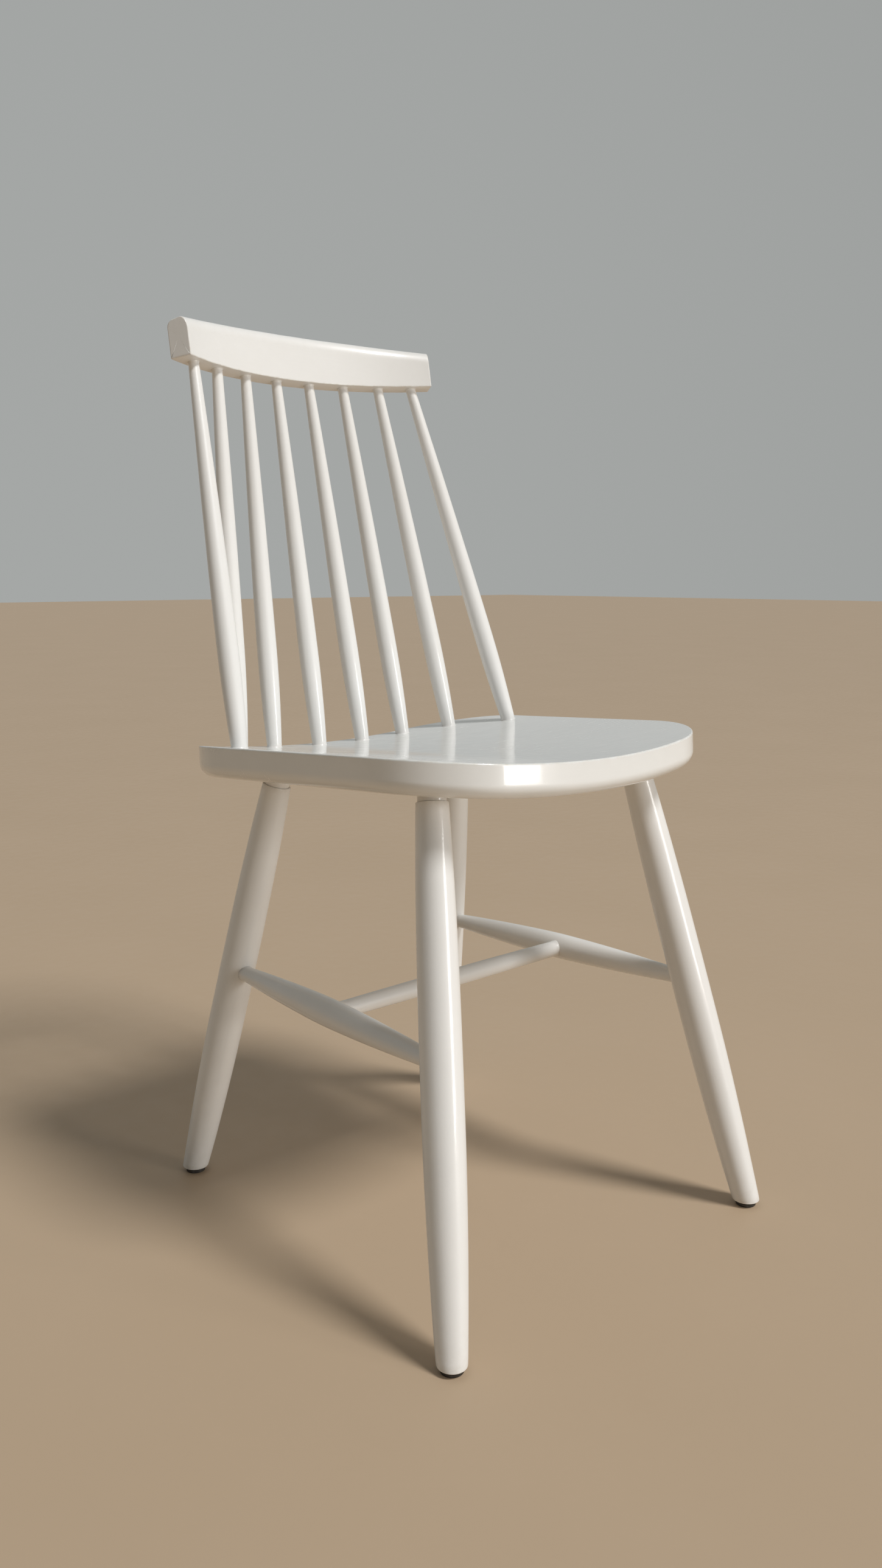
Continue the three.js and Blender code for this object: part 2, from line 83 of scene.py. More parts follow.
SIDE_BELLY = 25.5
SIDE_END = 14.5
CROSS_BELLY = 17
CROSS_END = 15.6
CROSS_AHEAD = 4
SIDE_HEIGHT = {"front": 221, "rear": 216.5}
SIDE_TENON = 12
CROSS_TENON = 7
STRETCHER_POWER = 1.6
STRETCHER_FOLLOW = 14  # from each end, how far the rings still follow the surface that it meets

SPINDLE_BASE = 14.4
SPINDLE_BELLY = 19.6
SPINDLE_TOP = 10.2
SPINDLE_BELLY_AT = 0.24
SPINDLE_POWERS = (2, 1.5)
SPINDLE_TENON = 12
SPINDLE_FOLLOW = 20
SPINDLES_A_SIDE = 4
SEAT_PITCH, SEAT_END_PITCH = 55, 68  # between spindles, and out to the last one
RAIL_PITCH, RAIL_END_PITCH = 40.5, 37
LINE_FROM_REAR, LINE_FROM_SIDE, LINE_CORNER = 25.7, 17, 95  # the line that the feet stand on

RAIL_RADIUS = 297
RAIL_HALF_LENGTH = 147.3
RAIL_THICKNESS = 22
RAIL_HEIGHT = 48
RAIL_CROWN = 12.8
RAIL_LOWER_DROP = 2
RAIL_TOP_FALL = 1
RAIL_FRONT_ROUND = 8
RAIL_FRONT_ROUND_DOWN = 13
RAIL_REAR_ROUND = 7.5
RAIL_EASE = 1.1
RAIL_END_EASE = 1.0
RAIL_BESIDE = 0.7  # from a rounded edge to the next row of points
RAIL_CAP_SCALES = (0.15, 0.4, 0.65, 0.85, 0.95)  # rings that fill each end
SANDED_OFF = 0.1  # how far a shaped board stays inside its true surface
RAIL_LEAN = math.radians(9.8)
RAIL_BEHIND = 233.5
RAIL_ABOVE = 793.5

# ---- Placing -----------------------------------------------------------------------------------------------


def glide_foot(name):
    """The middle of a glide's top, where the leg stands on it."""
    low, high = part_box(name)
    return Vector(((low.x + high.x) / 2, (low.y + high.y) / 2, 0)) / MM + Vector((0, 0, GLIDE_HEIGHT))


def seat_shift():
    """How far the seat's middle is from the origin along Y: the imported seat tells."""
    low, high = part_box("seat")
    front = -SEAT_DEPTH / 2 * math.cos(SEAT_RAKE) - (SEAT_THICKNESS - SEAT_LOWER_ROUND) * math.sin(SEAT_RAKE)
    return low.y / MM - front


SHIFT = seat_shift()


def tilted(back, up, lean):
    """The placing of a board that leans back about X."""
    return Matrix.Translation((0, back, up)) @ Euler((-lean, 0, 0)).to_matrix().to_4x4()


SEAT_PLACE = tilted(SHIFT, SEAT_HEIGHT, SEAT_RAKE)
RAIL_PLACE = tilted(SHIFT + RAIL_BEHIND, RAIL_ABOVE, RAIL_LEAN)


def dish(x):
    """How far the seat's surface has risen, at a distance from its middle line."""
    return SEAT_DISH_RADIUS - math.sqrt(SEAT_DISH_RADIUS ** 2 - x ** 2)


def on_seat(x, y, depth=0):
    return SEAT_PLACE @ Vector((x, y, dish(x) - depth))


def seat_normal(x):
    """The way up from the seat's surface, at a distance from its middle line."""
    slope = x / math.sqrt(SEAT_DISH_RADIUS ** 2 - x ** 2)
    return (SEAT_PLACE.to_3x3() @ Vector((-slope, 0, 1))).normalized()


# ---- Meshes ------------------------------------------------------------------------------------------------


def add_to_scene(name, data):
    made = bpy.data.objects.new(name, data)
    bpy.context.scene.collection.objects.link(made)
    return made


def add_piece(name, rings, wear, material, place, seed=0.0):
    """A closed smooth body through rings of points, in millimetres, with a single point at each end.

    wear holds one number per ring, from 0 to 1: how far its surface turns in patches towards a brownish tone,
    on rubbed edges and feet, and darker at the joints. The points are in the piece's own frame, which stays on
    the mesh as own_place, so that paint marks run along the piece.
    """
    points = [rings[0][0]]
    values = [wear[0]]
    for ring, value in zip(rings[1:-1], wear[1:-1]):
        points += ring
        values += [value] * len(ring)
    points.append(rings[-1][0])
    values.append(wear[-1])
    around = len(rings[1])
    count = len(rings) - 2
    faces = []
    for i in range(around):
        following = (i + 1) % around
        faces.append((0, 1 + following, 1 + i))
        for j in range(count - 1):
            a = 1 + j * around
            b = a + around
            faces.append((a + i, a + following, b + following, b + i))
        last = 1 + (count - 1) * around
        faces.append((last + i, last + following, len(points) - 1))
    mesh = bpy.data.meshes.new(name)
    mesh.from_pydata([(place @ p) * MM for p in points], [], faces)
    mesh.update()
    mesh.polygons.foreach_set("use_smooth", [True] * len(mesh.polygons))
    attribute = mesh.attributes.new("wear", "FLOAT", "POINT")
    attribute.data.foreach_set("value", values)
    own = mesh.attributes.new("own_place", "FLOAT_VECTOR", "POINT")
    offset = Vector((seed, seed * 0.7, seed * 1.3))
    own.data.foreach_set("vector", [c for p in points for c in (p + offset) * MM])
    mesh.materials.append(material)
    piece = add_to_scene(name, mesh)
    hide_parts(name)
    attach(piece, "root")
    return piece


def along(start, end):
    """The placing of a turned piece: its own zero at start and its own +Z towards end."""
    turn = (end - start).to_track_quat("Z", "Y")
    return Matrix.Translation(start) @ turn.to_matrix().to_4x4()


def wobble(point, size, amount):
    """A slow unevenness, never outwards: how far hand sanding has gone below the true surface."""
    return -amount * (0.5 + 0.5 * noise.noise(point / size))


def turned(name, profile, start, end, material, around=72, lower=None, upper=None, seed=0.0, uneven=0.12):
    """A turned piece.

    profile rows: distance along, radius, wear, and how far the ring follows lower and upper.
    lower and upper give a surface that the piece grows out of or runs into: how far along a line beside the
    axis meets it, measured from where the axis itself does.
    """
    place = along(start, end)
    frame_x = place.col[0].xyz
    frame_y = place.col[1].xyz
    axis = place.col[2].xyz
    rings = []
    wear = []
    for distance, radius, worn, at_lower, at_upper in profile:
        if radius == 0:
            rings.append([Vector((0, 0, distance))])
            wear.append(worn)
            continue
        ring = []
        for i in range(around):
            angle = 2 * math.pi * i / around
            u = radius * math.cos(angle)
            v = radius * math.sin(angle)
            shift = 0
            if at_lower:
                shift += at_lower * lower(frame_x * u + frame_y * v, axis)
            if at_upper:
                shift += at_upper * upper(frame_x * u + frame_y * v, axis)
            point = Vector((u, v, distance + shift))
            away = Vector((u, v, 0)).normalized()
            dip = wobble(Vector((u + seed, v - seed, distance * 0.35)), 14, uneven)
            ring.append(point + away * dip)
        rings.append(ring)
        wear.append(worn)
    return add_piece(name, rings, wear, material, place, seed)


def barrel(share, belly_at, belly, tips, powers):
    """A barrel's radius at a share of its length. tips and powers are for its start and its end."""
    beyond = share > belly_at
    far = (share - belly_at) / (1 - belly_at) if beyond else (belly_at - share) / belly_at
    return (belly - (belly - tips[beyond]) * far ** powers[beyond]) / 2


def plane_beside(normal):
    """The surface function of a plane that the axis meets."""
    def shift(offset, axis):
        return -offset.dot(normal) / axis.dot(normal)
    return shift


def cylinder_beside(centre_line, radius, towards):
    """The surface function of a round piece that the axis passes through the middle of.

    towards is 1 where the axis leaves the round piece and -1 where it enters.
    """
    def shift(offset, axis):
        across = axis - centre_line * axis.dot(centre_line)
        beside = offset - centre_line * offset.dot(centre_line)
        a = across.dot(across)
        b = beside.dot(across)
        c = beside.dot(beside) - radius ** 2
        root = math.sqrt(max(b * b - a * c, 0))
        return (-b + towards * root) / a - towards * radius / math.sqrt(a)
    return shift


def shared(start, end, steps):
    """Even steps from start to end, both included."""
    return [start + (end - start) * i / steps for i in range(steps + 1)]


# ---- Painted wood ------------------------------------------------------------------------------------------


class Graph:
    """Short ways to build a material's nodes."""

    def __init__(self, name, slot):
        self.material = bpy.data.materials.new(name)
        self.material.use_nodes = True
        self.material["slot"] = slot
        self.tree = self.material.node_tree
        self.surface = self.tree.nodes["Principled BSDF"]

    def feed(self, socket, value):
        """Give a socket a value, or link it to another node's output."""
        if isinstance(value, bpy.types.NodeSocket):
            self.tree.links.new(value, socket)
        else:
            socket.default_value = value

    def give(self, **values):
        """Feed the surface's own inputs."""
        for key, value in values.items():
            self.feed(self.surface.inputs[key.replace("_", " ")], value)

    def node(self, kind, inputs=None, **settings):
        made = self.tree.nodes.new(kind)
        for key, value in settings.items():
            setattr(made, key, value)
        for key, value in (inputs or {}).items():
            self.feed(made.inputs[key], value)
        return made

    def math(self, operation, *values, clamp=False):
        inputs = dict(enumerate(values))
        return self.node("ShaderNodeMath", inputs, operation=operation, use_clamp=clamp).outputs[0]

    def mapped(self, scale):
        coordinates = self.node("ShaderNodeAttribute", attribute_name="own_place").outputs["Vector"]
        return self.node("ShaderNodeMapping", {"Vector": coordinates, "Scale": scale}).outputs["Vector"]

    def noise(self, vector, scale, detail=2.0, roughness=0.5):
        inputs = {"Vector": vector, "Scale": scale, "Detail": detail, "Roughness": roughness}
        return self.node("ShaderNodeTexNoise", inputs).outputs["Fac"]

    def span(self, value, low, high, to_low=0.0, to_high=1.0):
        """A value's stretch from low to high, turned into one from to_low to to_high."""
        inputs = {"Value": value, "From Min": low, "From Max": high, "To Min": to_low, "To Max": to_high}
        return self.node("ShaderNodeMapRange", inputs, clamp=True).outputs["Result"]

    def mix(self, factor, a, b):
        """A colour between a and b. A colour mix has its factor, a and b at inputs 0, 6 and 7."""
        inputs = {0: factor, 6: a, 7: b}
        return self.node("ShaderNodeMix", inputs, data_type="RGBA", blend_type="MIX").outputs[2]

    def dots(self, vector, scale, channel, chosen, edge):
        """Round dots, one in each cell whose lot is drawn. chosen and edge are where lot and dot fade."""
        inputs = {"Vector": vector, "Scale": scale, "Randomness": 1.0}
        cells = self.node("ShaderNodeTexVoronoi", inputs, feature="F1")
        lot = self.node("ShaderNodeSeparateColor", {"Color": cells.outputs["Color"]}).outputs[channel]
        return self.math("MULTIPLY", self.span(lot, *chosen), self.span(cells.outputs["Distance"], *edge, 1, 0))

    def bump(self, height):
        """The normal of a surface with this height, in millimetres."""
        inputs = {"Height": height, "Distance": MM, "Strength": 1.0}
        return self.node("ShaderNodeBump", inputs).outputs["Normal"]


WHITE = (0.82, 0.812, 0.79, 1)
WHITE_SHADE = (0.755, 0.742, 0.712, 1)
SEAT_WHITE = (0.81, 0.81, 0.79, 1)
SEAT_WHITE_SHADE = (0.75, 0.748, 0.722, 1)
RUBBED_COLOUR = (0.52, 0.46, 0.37, 1)
SPECK_COLOUR = (0.11, 0.09, 0.075, 1)
SPECK_PIT = 0.015  # millimetres, as are the streak and peel heights
FINER = 2.7  # how much closer the fine brush marks are than the broad ones
COAT = 0.5
COAT_ROUGHNESS = 0.06
PLASTIC = (0.03, 0.026, 0.022, 1)
SCUFFED_PLASTIC = (0.12, 0.11, 0.1, 1)


def painted_wood(name, slot, colour, shade, streak_scale, roughness, streak_height, peel_height):
    """Brushed satin-gloss enamel: slow tone changes, brush marks, orange peel, dust nibs, and rubbed edges."""
    g = Graph(name, slot)
    plain = g.mapped((1, 1, 1))
    drift = g.noise(plain, 7, 3, 0.55)
    mottle = g.noise(plain, 55, 4, 0.6)
    streaks = g.noise(g.mapped(streak_scale), 1, 5, 0.62)
    fine_streaks = g.noise(g.mapped(tuple(s * FINER for s in streak_scale)), 1, 3, 0.6)
    peel = g.noise(plain, 420, 2, 0.5)
    grit = g.noise(plain, 1500, 2, 0.6)

    tone = g.mix(g.span(drift, 0.3, 0.7, 0, 0.6), colour, shade)
    tone = g.mix(g.span(mottle, 0.35, 0.75, 0, 0.25), tone, shade)
    tone = g.mix(g.span(streaks, 0.35, 0.7, 0, 0.2), tone, shade)

    worn = g.node("ShaderNodeAttribute", attribute_name="wear").outputs["Fac"]
    patches = g.noise(plain, 90, 5, 0.7)
    rubbed = g.math("MULTIPLY", worn, g.span(patches, 0.42, 0.68), clamp=True)
    tone = g.mix(g.math("MULTIPLY", rubbed, 0.55), tone, RUBBED_COLOUR)

    speck = g.dots(plain, 34, 0, (0.94, 0.95), (0.014, 0.022))
    tone = g.mix(g.math("MULTIPLY", speck, 0.75), tone, SPECK_COLOUR)

    gloss = g.math("ADD", g.span(drift, 0.3, 0.7, -0.03, 0.03), g.span(streaks, 0.3, 0.7, -0.03, 0.04))
    gloss = g.math("ADD", gloss, g.span(mottle, 0.3, 0.7, -0.02, 0.03))
    gloss = g.math("ADD", gloss, g.math("MULTIPLY", rubbed, 0.2))
    gloss = g.math("ADD", gloss, roughness, clamp=True)

    nib = g.dots(plain, 150, 1, (0.8, 0.82), (0.02, 0.075))
    height = g.math("MULTIPLY", streaks, streak_height)
    height = g.math("ADD", height, g.math("MULTIPLY", fine_streaks, streak_height * 0.3))
    height = g.math("ADD", height, g.math("MULTIPLY", peel, peel_height))
    height = g.math("ADD", height, g.math("MULTIPLY", grit, peel_height * 0.12))
    height = g.math("ADD", height, g.math("MULTIPLY", nib, peel_height * 0.4))
    height = g.math("SUBTRACT", height, g.math("MULTIPLY", speck, SPECK_PIT))
    normal = g.bump(height)
    g.give(Base_Color=tone, Roughness=gloss, Normal=normal)
    g.give(IOR=1.5, Coat_Weight=COAT, Coat_Roughness=COAT_ROUGHNESS, Coat_Normal=normal)
    return g.material


def moulded_plastic(name, slot):
    """The glides: dark moulded plastic, finely grained and scuffed grey where it slides."""
    g = Graph(name, slot)
    plain = g.mapped((1, 1, 1))
    grain = g.noise(plain, 1400, 3, 0.6)
    scuffs = g.noise(g.mapped((500, 90, 500)), 1, 4, 0.65)
    tone = g.mix(g.span(scuffs, 0.5, 0.75, 0, 0.6), PLASTIC, SCUFFED_PLASTIC)
    gloss = g.span(scuffs, 0.35, 0.7, 0.42, 0.72)
    height = g.math("ADD", g.math("MULTIPLY", grain, 0.03), g.math("MULTIPLY", scuffs, 0.03))
    g.give(Base_Color=tone, Roughness=gloss, Normal=g.bump(height))
    return g.material


turned_paint = painted_wood(
    "turned_paint", "frame_paint", WHITE, WHITE_SHADE, streak_scale=(900, 900, 9),
    roughness=0.4, streak_height=0.012, peel_height=0.038,
)
rail_paint = painted_wood(
    "rail_paint", "frame_paint", WHITE, WHITE_SHADE, streak_scale=(9, 420, 420),
    roughness=0.38, streak_height=0.01, peel_height=0.018,
)
seat_paint = painted_wood(
    "seat_paint", "seat_paint", SEAT_WHITE, SEAT_WHITE_SHADE, streak_scale=(11, 380, 380),
    roughness=0.22, streak_height=0.007, peel_height=0.01,
)
glide_plastic = moulded_plastic("glide_plastic", "glide")

# ---- Seat --------------------------------------------------------------------------------------------------

REAR_EDGE = SEAT_DEPTH / 2
FLARE = math.atan((SEAT_REAR_WIDTH - SEAT_FRONT_WIDTH) / 2 / SEAT_DEPTH)
MID_HALF_WIDTH = (SEAT_REAR_WIDTH + SEAT_FRONT_WIDTH) / 4
SIDE_ALONG = Vector((math.sin(FLARE), math.cos(FLARE)))
SIDE_OUT = Vector((math.cos(FLARE), -math.sin(FLARE)))


def half_width_at(y):
    return MID_HALF_WIDTH + y * math.tan(FLARE)


def corner_centre(radius, distance):
    return Vector((MID_HALF_WIDTH, 0)) - SIDE_OUT * radius + SIDE_ALONG * distance


def arc(centre, radius, start, end, steps):
    """Points of an arc, each with its way out."""
    points = []
    for angle in shared(start, end, steps):
        out = Vector((math.cos(angle), math.sin(angle)))
        points.append((centre + out * radius, out))
    return points


def between(a, b, steps):
    """The points inside a straight run from one outline point to another."""
    return [(a[0].lerp(b[0], i / steps), a[1].lerp(b[1], i / steps).normalized()) for i in range(1, steps)]


def seat_outline():
    """The outline in plan, once round, each point with its way out."""
    bow_centre = Vector((0, -REAR_EDGE + SEAT_BOW))
    rear = corner_centre(SEAT_REAR_CORNER, 0)
    rear = corner_centre(SEAT_REAR_CORNER, (REAR_EDGE - SEAT_REAR_CORNER - rear.y) / SIDE_ALONG.y)
    start = corner_centre(SEAT_FRONT_CORNER, 0) - bow_centre
    half = start.dot(SIDE_ALONG)
    reach = SEAT_BOW - SEAT_FRONT_CORNER
    front = corner_centre(SEAT_FRONT_CORNER, -half - math.sqrt(half ** 2 - start.length_squared + reach ** 2))
    meets = math.atan2(front.y - bow_centre.y, front.x)
    rear_arc = arc(rear, SEAT_REAR_CORNER, math.pi / 2, -FLARE, 36)
    front_arc = arc(front, SEAT_FRONT_CORNER, -FLARE, meets, 36)
    bow = arc(bow_centre, SEAT_BOW, meets, -math.pi / 2, 36)
    middle = (Vector((0, REAR_EDGE)), Vector((0, 1)))
    half_line = [middle, *between(middle, rear_arc[0], 20), *rear_arc]
    half_line += [*between(rear_arc[-1], front_arc[0], 30), *front_arc, *bow[1:]]
    flipped = [(Vector((-at.x, at.y)), Vector((-out.x, out.y))) for at, out in reversed(half_line[1:-1])]
    return half_line + flipped


def seat_profile():
    """Rows of scale, inset, depth and wear, from the middle of the top round to the middle of the underside."""
    rows = [(s, SEAT_EASE + SEAT_BESIDE, 0, 0) for s in shared(0.05, 1, 16)]
    for angle in shared(0, math.pi / 2, 6):
        inset = SEAT_EASE * (1 - math.sin(angle))
        rows.append((1, inset, SEAT_EASE * (1 - math.cos(angle)), 0.35 + 0.55 * math.sin(2 * angle)))
    side = SEAT_THICKNESS - SEAT_LOWER_ROUND
    rows += [(1, 0, SEAT_EASE + SEAT_BESIDE, 0.1), (1, 0, side / 2, 0), (1, 0, side - SEAT_BESIDE, 0)]
    for angle in shared(0, math.pi / 2, 14):
        inset = SEAT_LOWER_ROUND * (1 - math.cos(angle))
        rows.append((1, inset, side + SEAT_LOWER_ROUND * math.sin(angle), 0))
    rows += [(s, SEAT_LOWER_ROUND + SEAT_BESIDE, SEAT_THICKNESS, 0) for s in shared(1, 0.05, 16)]
    return rows


def seat_rings():
    outline = seat_outline()
    rings = [[Vector((0, 0, 0))]]
    wear = [0]
    for scale, inset, depth, worn in seat_profile():
        ring = []
        for at, out in outline:
            flat = (at - out * inset) * scale
            sanded = wobble(Vector((flat.x, flat.y, depth)), 45, 0.35)
            point = Vector((flat.x + out.x * sanded * scale, flat.y + out.y * sanded * scale, 0))
            point.z = dish(point.x) - depth
            ring.append(point)
        rings.append(ring)
        wear.append(worn)
    rings.append([Vector((0, 0, -SEAT_THICKNESS))])
    wear.append(0)
    return rings, wear


rings, wear = seat_rings()
add_piece("seat", rings, wear, seat_paint, SEAT_PLACE)

# ---- Crest rail --------------------------------------------------------------------------------------------

RAIL_HALF_ANGLE = math.asin(RAIL_HALF_LENGTH / RAIL_RADIUS)


def rail_underside(angle):
    return -RAIL_LOWER_DROP * (angle / RAIL_HALF_ANGLE) ** 2


def rail_point(angle, back, up):
    radius = RAIL_RADIUS + back
    return Vector((math.sin(angle) * radius, math.cos(angle) * radius - RAIL_RADIUS, up))


def rail_section(height):
    """The section from the lower front edge up and over: points, ways out and wear."""
    section = []

    def corner(x, y, radius, start, end, steps, worn):
        for angle in shared(start, end, steps):
            out = Vector((math.cos(angle), math.sin(angle)))
            section.append((Vector((x, y)) + out * radius, out, worn))

    def face(points, out):
        section.extend((Vector(p), Vector(out), 0.0) for p in points)

    ease = RAIL_EASE
    beside = RAIL_BESIDE
    front = RAIL_FRONT_ROUND
    down = RAIL_FRONT_ROUND_DOWN
    rear = RAIL_REAR_ROUND
    deep = RAIL_THICKNESS
    top = height - RAIL_TOP_FALL
    corner(ease, ease, ease, math.pi * 1.5, math.pi, 5, 0.8)
    face([(0, y) for y in shared(ease + beside, height - down - beside, 8)], (-1, 0))
    for angle in shared(math.pi, math.pi / 2, 18):
        out = Vector((math.cos(angle) / front, math.sin(angle) / down)).normalized()
        at = Vector((front * (1 + math.cos(angle)), height - down * (1 - math.sin(angle))))
        section.append((at, out, 0.1))
    slope = Vector((RAIL_TOP_FALL, deep - front - rear)).normalized()
    face([(front + (deep - front - rear) / 2, (height + top) / 2)], slope)
    corner(deep - rear, top - rear, rear, math.pi / 2, 0, 14, 0.15)
    face([(deep, y) for y in shared(top - rear - beside, ease + beside, 8)], (1, 0))
    corner(deep - ease, ease, ease, 0, -math.pi / 2, 5, 0.6)
    face([(x, 0) for x in shared(deep - ease - beside, ease + beside, 6)], (0, -1))
    return section


def rail_rings():
    """Rings from one end to the other. Each station has an angle, an inset, a scale and its wear."""
    ease = RAIL_END_EASE
    stations = [(RAIL_HALF_ANGLE, ease, scale, 0) for scale in RAIL_CAP_SCALES]
    for turn in shared(0, math.pi / 2, 5):
        back = ease * (1 - math.cos(turn))
        stations.append((RAIL_HALF_ANGLE - back / RAIL_RADIUS, ease * (1 - math.sin(turn)), 1, 0.8))
    inner = RAIL_HALF_ANGLE - (ease + 0.8) / RAIL_RADIUS
    body = [(angle, 0, 1, 0) for angle in shared(inner, -inner, 120)]
    mirrored = [(-angle, inset, scale, worn) for angle, inset, scale, worn in reversed(stations)]
    rings = []
    wear = []
    for angle, inset, scale, worn in stations + body + mirrored:
        underside = rail_underside(angle)
        height = RAIL_HEIGHT - RAIL_CROWN * (angle / RAIL_HALF_ANGLE) ** 2 - underside
        centre = Vector((RAIL_THICKNESS / 2, height / 2))
        ring = []
        for at, out, rubbed in rail_section(height):
            sanded = wobble(Vector((angle * RAIL_RADIUS, at.x, at.y)), 30, 0.3) - SANDED_OFF
            flat = centre.lerp(at + out * (sanded - inset), scale)
            ring.append(rail_point(angle, flat.x, underside + flat.y))
        rings.append(ring)
        wear.append(worn)
    tip_up = (RAIL_HEIGHT - RAIL_CROWN - RAIL_LOWER_DROP) / 2
    tips = [[rail_point(angle, RAIL_THICKNESS / 2, tip_up)] for angle in (RAIL_HALF_ANGLE, -RAIL_HALF_ANGLE)]
    return [tips[0], *rings, tips[1]], [0, *wear, 0]


rings, wear = rail_rings()
crest = add_piece("crest_rail", rings, wear, rail_paint, RAIL_PLACE)

# The rail's long edges are rubbed as well as its ends.
edge_wear = [worn for _, _, worn in rail_section(RAIL_HEIGHT)]
for i, point in enumerate(crest.data.attributes["wear"].data[1:-1]):
    point.value = max(point.value, edge_wear[i % len(edge_wear)])

# ---- Legs --------------------------------------------------------------------------------------------------


def leg_line(end, side):
    """A leg's axis: the middle of its foot, and where it meets the seat's underside."""
    y = ENDS[end] * (SEAT_DEPTH / 2 - LEG_FROM_EDGE[end])
    top = on_seat(SIDES[side] * (half_width_at(y) - LEG_FROM_SIDE[end]), y, SEAT_THICKNESS)
    return glide_foot(f"{end}_{side}_glide"), top


def leg_radius(share):
    return barrel(share, LEG_BELLY_AT, LEG_BELLY, (FOOT_DIAMETER, LEG_TOP), LEG_POWERS)


def leg_profile(length):
    turned_length = length - SHOULDER_DROP
    foot = FOOT_DIAMETER / 2
    ease = 1.0
    rows = [(0, 0, 0.3, 0, 0)]
    rows += [(0, foot * s, 0.3, 1, 0) for s in (0.25, 0.6, 0.85)]
    for angle in shared(0, math.pi / 2, 4):
        rows.append((ease * (1 - math.cos(angle)), foot - ease * (1 - math.sin(angle)), 0.9, 1, 0))
    for share in shared(0, 1, 70)[1:-1]:
        fade = max(0, 1 - share * 12)
        rows.append((share * turned_length, leg_radius(share), 0.35 * fade, fade, 0))
    shoulder = LEG_TOP / 2
    edge = 0.6
    for angle in shared(0, math.pi / 2, 5):
        radius = shoulder - edge * (1 - math.cos(angle))
        rows.append((turned_length - edge * (1 - math.sin(angle)), radius, 0.7, 0, 0))
    neck = NECK_DIAMETER / 2
    shoulder_groove = [
        (turned_length - 0.2, neck - 0.2, 1, 0, 0),
        (turned_length - 0.5, neck - 0.7, 1, 0, 0),
        (turned_length + 0.4, neck - 0.1, 0.6, 0, 0),
        (turned_length + 0.8, neck, 0.3, 0, 0),
    ]
    paint_fillet = [
        (length - 1.5, neck, 0.3, 0, 0.7),
        (length - 0.6, neck + 0.12, 0.4, 0, 1),
        (length + 0.2, neck + 0.8, 0.5, 0, 1),
        (length + 1.5, neck, 0, 0, 1),
    ]
    tenon = [(length + LEG_TENON, neck, 0, 0, 0), (length + LEG_TENON, 0, 0, 0, 0)]
    return rows + shoulder_groove + paint_fillet + tenon


legs = {}
for end in ENDS:
    for side in SIDES:
        foot, top = leg_line(end, side)
        legs[end, side] = (foot, top)
        turned(
            f"{end}_{side}_leg", leg_profile((top - foot).length), foot, top, turned_paint, around=96,
            lower=plane_beside(Vector((0, 0, 1))), upper=plane_beside(seat_normal(top.x)),
            seed=37.0 * len(legs),
        )

# ---- Stretchers --------------------------------------------------------------------------------------------


def at_height(line, height):
    """The point of a leg's axis at a height."""
    foot, top = line
    return foot.lerp(top, (height - foot.z) / (top.z - foot.z))


def radius_at(line, point):
    """A leg's radius at a point of its axis."""
    foot, top = line
    return leg_radius((point - foot).length / ((top - foot).length - SHOULDER_DROP))


def stretcher_profile(length, start_in, end_in, belly, tip, tenon):
    """From inside one piece to inside the other: start_in and end_in are where the surfaces are."""
    finish = length - end_in
    seen = length - start_in - end_in
    half = tip / 2
    rows = [(start_in - tenon, 0, 0, 0, 0), (start_in - tenon, half, 0, 0, 0), (start_in - 1, half, 0, 1, 0)]
    rows += [(start_in, half + 0.7, 0.5, 1, 0), (start_in + 0.7, half + 0.15, 0.4, 1, 0)]
    for share in shared(0, 1, 60)[1:-1]:
        near = max(0, 1 - share * seen / STRETCHER_FOLLOW)
        far = max(0, 1 - (1 - share) * seen / STRETCHER_FOLLOW)
        radius = barrel(share, 0.5, belly, (tip, tip), (STRETCHER_POWER, STRETCHER_POWER))
        rows.append((start_in + share * seen, radius, 0, near, far))
    rows += [(finish - 0.7, half + 0.15, 0.4, 0, 1), (finish, half + 0.7, 0.5, 0, 1)]
    rows += [(finish + 1, half, 0, 0, 1), (finish + tenon, half, 0, 0, 0), (finish + tenon, 0, 0, 0, 0)]
    return rows


def axis_exit(direction, line_direction, radius):
    """How far along direction a round piece's surface is from its own axis."""
    across = direction - line_direction * direction.dot(line_direction)
    return radius / across.length


sides = {}
for side in SIDES:
    rear_line = legs["rear", side]
    front_line = legs["front", side]
    rear = at_height(rear_line, SIDE_HEIGHT["rear"])
    front = at_height(front_line, SIDE_HEIGHT["front"])
    direction = (front - rear).normalized()
    rear_axis = (rear_line[1] - rear_line[0]).normalized()
    front_axis = (front_line[1] - front_line[0]).normalized()
    rear_radius = radius_at(rear_line, rear)
    front_radius = radius_at(front_line, front)
    start_in = axis_exit(direction, rear_axis, rear_radius)
    end_in = axis_exit(direction, front_axis, front_radius)
    sides[side] = (rear, front, direction)
    turned(
        f"{side}_side_stretcher",
        stretcher_profile((front - rear).length, start_in, end_in, SIDE_BELLY, SIDE_END, SIDE_TENON),
        rear, front, turned_paint,
        lower=cylinder_beside(rear_axis, rear_radius, 1), upper=cylinder_beside(front_axis, front_radius, -1),
        seed=71.0 if side == "right" else 113.0,
    )

cross_right, cross_left = (
    rear.lerp(front, 0.5) + direction * CROSS_AHEAD for rear, front, direction in sides.values()
)
cross = cross_left - cross_right
right_axis = sides["right"][2]
left_axis = sides["left"][2]
right_in = axis_exit(cross.normalized(), right_axis, SIDE_BELLY / 2)
left_in = axis_exit(cross.normalized(), left_axis, SIDE_BELLY / 2)
turned(
    "cross_stretcher",
    stretcher_profile(cross.length, right_in, left_in, CROSS_BELLY, CROSS_END, CROSS_TENON),
    cross_right, cross_left, turned_paint,
    lower=cylinder_beside(right_axis, SIDE_BELLY / 2, 1), upper=cylinder_beside(left_axis, SIDE_BELLY / 2, -1),
    seed=151.0,
)

